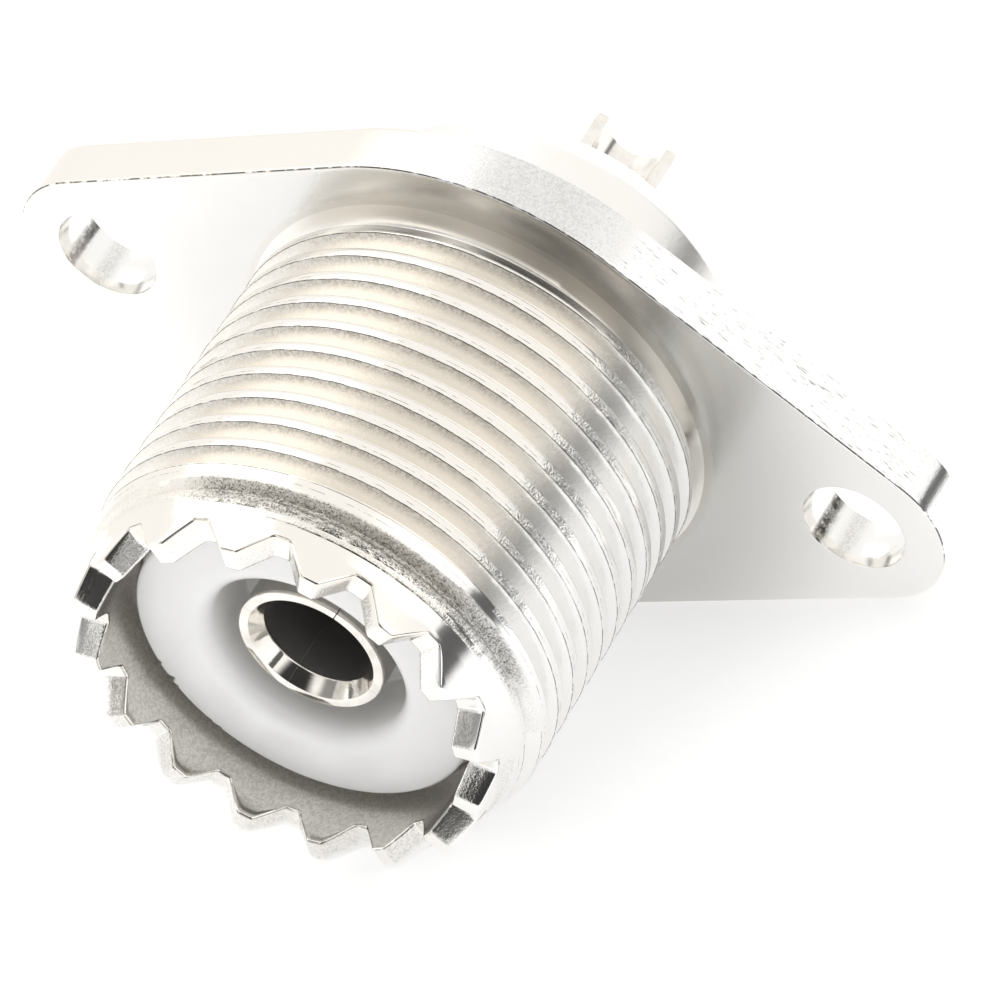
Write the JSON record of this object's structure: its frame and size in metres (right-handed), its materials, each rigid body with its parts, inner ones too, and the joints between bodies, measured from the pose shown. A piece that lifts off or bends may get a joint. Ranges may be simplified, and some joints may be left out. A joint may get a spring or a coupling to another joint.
{
  "type": "coaxial panel socket",
  "caption": "Two-hole flange coaxial socket with a threaded barrel, toothed rim, white insulator, slotted centre contact and a solder cup behind the panel.",
  "frame": {"origin": "centre of the flange's rear face, on the axis of the socket", "axes": "+Z along the socket's axis out of the mating end, +X through the two mounting holes"},
  "size_m": [0.0324, 0.019, 0.0262],
  "materials": {
    "plated_shell": "satin nickel plate over a cast body, rough on the edges and on the tooth flanks",
    "white_insulator": "smooth white moulding",
    "plated_contact": "bright polished nickel plate"
  },
  "bodies": {
    "root": {"shell": "plated_shell", "insulator": "white_insulator", "centre_contact": "plated_contact"}
  },
  "joints": []
}
